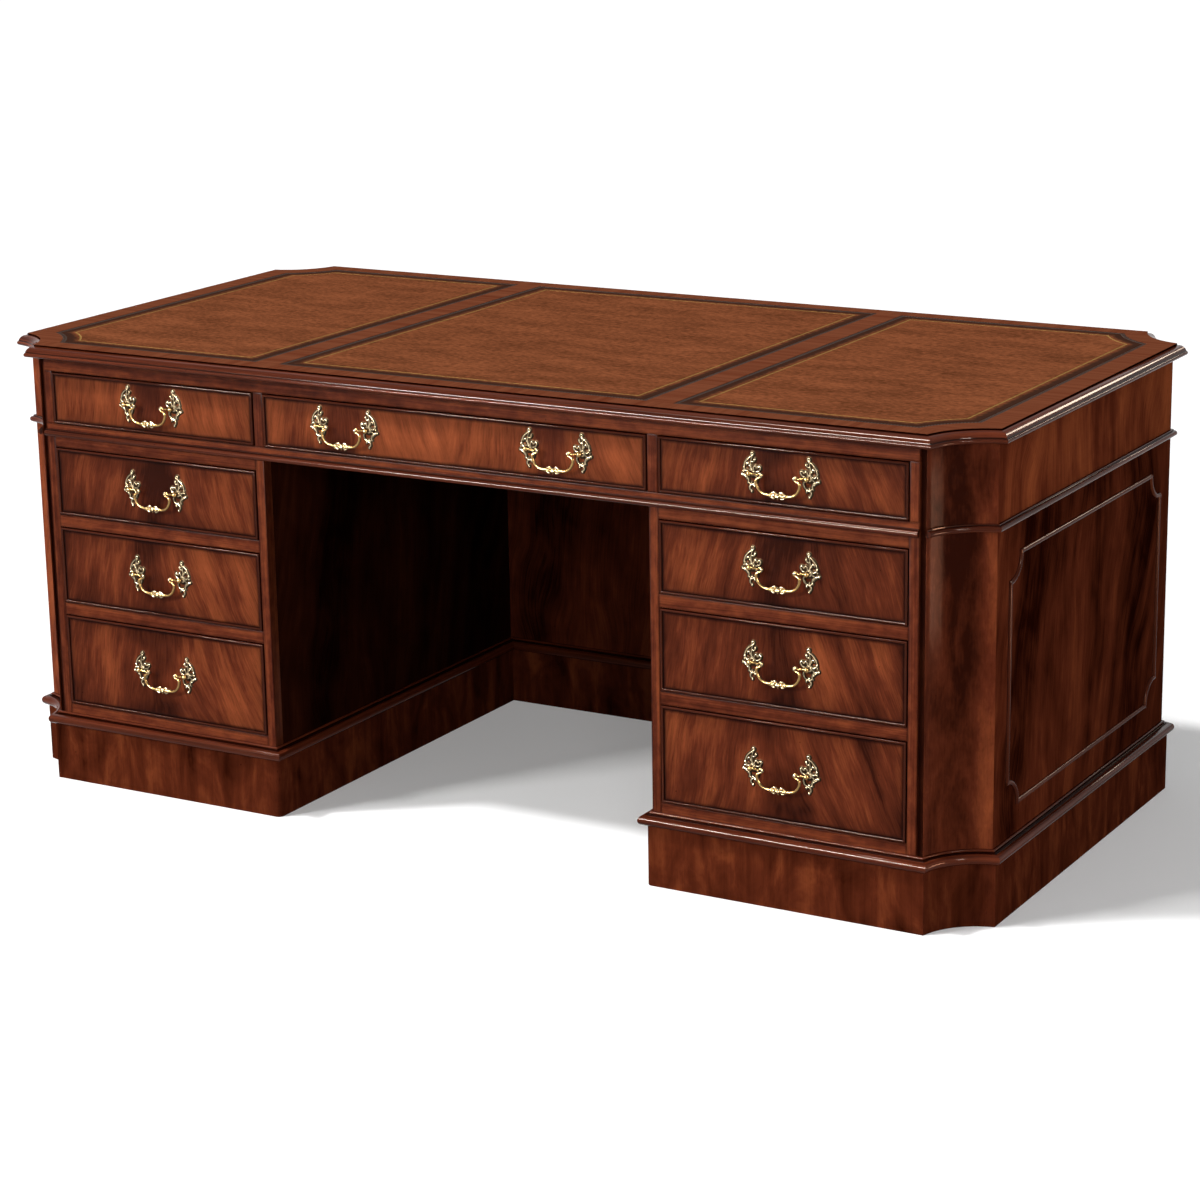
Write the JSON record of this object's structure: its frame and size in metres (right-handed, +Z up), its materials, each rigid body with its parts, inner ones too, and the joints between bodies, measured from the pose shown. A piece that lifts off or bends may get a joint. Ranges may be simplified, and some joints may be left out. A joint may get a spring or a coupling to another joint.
{
  "type": "pedestal desk",
  "caption": "Kneehole pedestal desk with a leather-lined moulded top, scooped corners, cockbeaded drawers on wooden runners, brass swan-neck bails and plinth bases.",
  "frame": {"origin": "on the floor, under the middle of the desk", "axes": "+X to the right as seen from the drawer side, +Y to the back, +Z up"},
  "size_m": [1.83, 0.92, 0.765],
  "materials": {
    "mahogany_rail": "french polished, with a dark glaze in the corners",
    "mahogany_crotch": "crotch veneer, french polished, with a dark glaze in the corners",
    "mahogany_veneer": "upright veneer, french polished, with a dark glaze in the corners",
    "mahogany_moulding": "french polished, with a dark glaze in the corners",
    "mahogany_plinth": "upright grain, french polished, with a dark glaze in the corners",
    "mahogany_crossband": "crossbanded, french polished, with a dark glaze in the corners",
    "leather": "waxed hide, gold-tooled line",
    "oak": "waxed bare wood",
    "brass": "antique cast brass, dark in its hollows"
  },
  "bodies": {
    "carcase": {"top_panel": "mahogany_crossband", "top_edge_moulding": "mahogany_moulding", "leather_left": "leather", "leather_centre": "leather", "leather_right": "leather", "frieze_face_frame": "mahogany_rail", "frieze_panels": "mahogany_veneer", "frieze_partitions": "oak", "frieze_dust_board": "oak", "corner_posts": "mahogany_crotch", "astragal_moulding": "mahogany_moulding", "modesty_panel": "mahogany_veneer", "modesty_plinth": "mahogany_plinth", "base_mouldings": "mahogany_moulding", "panel_mouldings": "mahogany_moulding", "left_pedestal_case": "mahogany_veneer", "left_pedestal_frame": "mahogany_rail", "left_pedestal_boards": "oak", "left_plinth": "mahogany_plinth", "right_pedestal_case": "mahogany_veneer", "right_pedestal_frame": "mahogany_rail", "right_pedestal_boards": "oak", "right_plinth": "mahogany_plinth"},
    "frieze_centre_drawer": {"frieze_centre_drawer_front": "mahogany_crotch", "frieze_centre_drawer_box": "oak", "frieze_centre_handle_plates": "brass"},
    "frieze_centre_left_bail": {"frieze_centre_left_bail": "brass"},
    "frieze_centre_right_bail": {"frieze_centre_right_bail": "brass"},
    "frieze_left_drawer": {"frieze_left_drawer_front": "mahogany_crotch", "frieze_left_drawer_box": "oak", "frieze_left_handle_plates": "brass"},
    "frieze_left_bail": {"frieze_left_bail": "brass"},
    "left_top_drawer": {"left_top_drawer_front": "mahogany_crotch", "left_top_drawer_box": "oak", "left_top_handle_plates": "brass"},
    "left_top_bail": {"left_top_bail": "brass"},
    "left_middle_drawer": {"left_middle_drawer_front": "mahogany_crotch", "left_middle_drawer_box": "oak", "left_middle_handle_plates": "brass"},
    "left_middle_bail": {"left_middle_bail": "brass"},
    "left_bottom_drawer": {"left_bottom_drawer_front": "mahogany_crotch", "left_bottom_drawer_box": "oak", "left_bottom_handle_plates": "brass"},
    "left_bottom_bail": {"left_bottom_bail": "brass"},
    "frieze_right_drawer": {"frieze_right_drawer_front": "mahogany_crotch", "frieze_right_drawer_box": "oak", "frieze_right_handle_plates": "brass"},
    "frieze_right_bail": {"frieze_right_bail": "brass"},
    "right_top_drawer": {"right_top_drawer_front": "mahogany_crotch", "right_top_drawer_box": "oak", "right_top_handle_plates": "brass"},
    "right_top_bail": {"right_top_bail": "brass"},
    "right_middle_drawer": {"right_middle_drawer_front": "mahogany_crotch", "right_middle_drawer_box": "oak", "right_middle_handle_plates": "brass"},
    "right_middle_bail": {"right_middle_bail": "brass"},
    "right_bottom_drawer": {"right_bottom_drawer_front": "mahogany_crotch", "right_bottom_drawer_box": "oak", "right_bottom_handle_plates": "brass"},
    "right_bottom_bail": {"right_bottom_bail": "brass"}
  },
  "joints": [
    {"name": "frieze_centre_drawer_slide", "type": "slide", "parent": "carcase", "child": "frieze_centre_drawer", "axis": [0, -1, 0], "range_m": [0, 0.4]},
    {"name": "frieze_centre_left_bail_hinge", "type": "hinge", "parent": "frieze_centre_drawer", "child": "frieze_centre_left_bail", "pos_m": [-0.196, -0.4508, 0.68], "axis": [-1, 0, 0], "range_deg": [0, 100]},
    {"name": "frieze_centre_right_bail_hinge", "type": "hinge", "parent": "frieze_centre_drawer", "child": "frieze_centre_right_bail", "pos_m": [0.196, -0.4508, 0.68], "axis": [-1, 0, 0], "range_deg": [0, 100]},
    {"name": "frieze_left_drawer_slide", "type": "slide", "parent": "carcase", "child": "frieze_left_drawer", "axis": [0, -1, 0], "range_m": [0, 0.4]},
    {"name": "frieze_left_bail_hinge", "type": "hinge", "parent": "frieze_left_drawer", "child": "frieze_left_bail", "pos_m": [-0.582, -0.4508, 0.68], "axis": [-1, 0, 0], "range_deg": [0, 100]},
    {"name": "left_top_drawer_slide", "type": "slide", "parent": "carcase", "child": "left_top_drawer", "axis": [0, -1, 0], "range_m": [0, 0.4]},
    {"name": "left_top_bail_hinge", "type": "hinge", "parent": "left_top_drawer", "child": "left_top_bail", "pos_m": [-0.582, -0.4508, 0.536], "axis": [-1, 0, 0], "range_deg": [0, 100]},
    {"name": "left_middle_drawer_slide", "type": "slide", "parent": "carcase", "child": "left_middle_drawer", "axis": [0, -1, 0], "range_m": [0, 0.4]},
    {"name": "left_middle_bail_hinge", "type": "hinge", "parent": "left_middle_drawer", "child": "left_middle_bail", "pos_m": [-0.582, -0.4508, 0.389], "axis": [-1, 0, 0], "range_deg": [0, 100]},
    {"name": "left_bottom_drawer_slide", "type": "slide", "parent": "carcase", "child": "left_bottom_drawer", "axis": [0, -1, 0], "range_m": [0, 0.4]},
    {"name": "left_bottom_bail_hinge", "type": "hinge", "parent": "left_bottom_drawer", "child": "left_bottom_bail", "pos_m": [-0.582, -0.4508, 0.221], "axis": [-1, 0, 0], "range_deg": [0, 100]},
    {"name": "frieze_right_drawer_slide", "type": "slide", "parent": "carcase", "child": "frieze_right_drawer", "axis": [0, -1, 0], "range_m": [0, 0.4]},
    {"name": "frieze_right_bail_hinge", "type": "hinge", "parent": "frieze_right_drawer", "child": "frieze_right_bail", "pos_m": [0.582, -0.4508, 0.68], "axis": [-1, 0, 0], "range_deg": [0, 100]},
    {"name": "right_top_drawer_slide", "type": "slide", "parent": "carcase", "child": "right_top_drawer", "axis": [0, -1, 0], "range_m": [0, 0.4]},
    {"name": "right_top_bail_hinge", "type": "hinge", "parent": "right_top_drawer", "child": "right_top_bail", "pos_m": [0.582, -0.4508, 0.536], "axis": [-1, 0, 0], "range_deg": [0, 100]},
    {"name": "right_middle_drawer_slide", "type": "slide", "parent": "carcase", "child": "right_middle_drawer", "axis": [0, -1, 0], "range_m": [0, 0.4]},
    {"name": "right_middle_bail_hinge", "type": "hinge", "parent": "right_middle_drawer", "child": "right_middle_bail", "pos_m": [0.582, -0.4508, 0.389], "axis": [-1, 0, 0], "range_deg": [0, 100]},
    {"name": "right_bottom_drawer_slide", "type": "slide", "parent": "carcase", "child": "right_bottom_drawer", "axis": [0, -1, 0], "range_m": [0, 0.4]},
    {"name": "right_bottom_bail_hinge", "type": "hinge", "parent": "right_bottom_drawer", "child": "right_bottom_bail", "pos_m": [0.582, -0.4508, 0.221], "axis": [-1, 0, 0], "range_deg": [0, 100]}
  ]
}
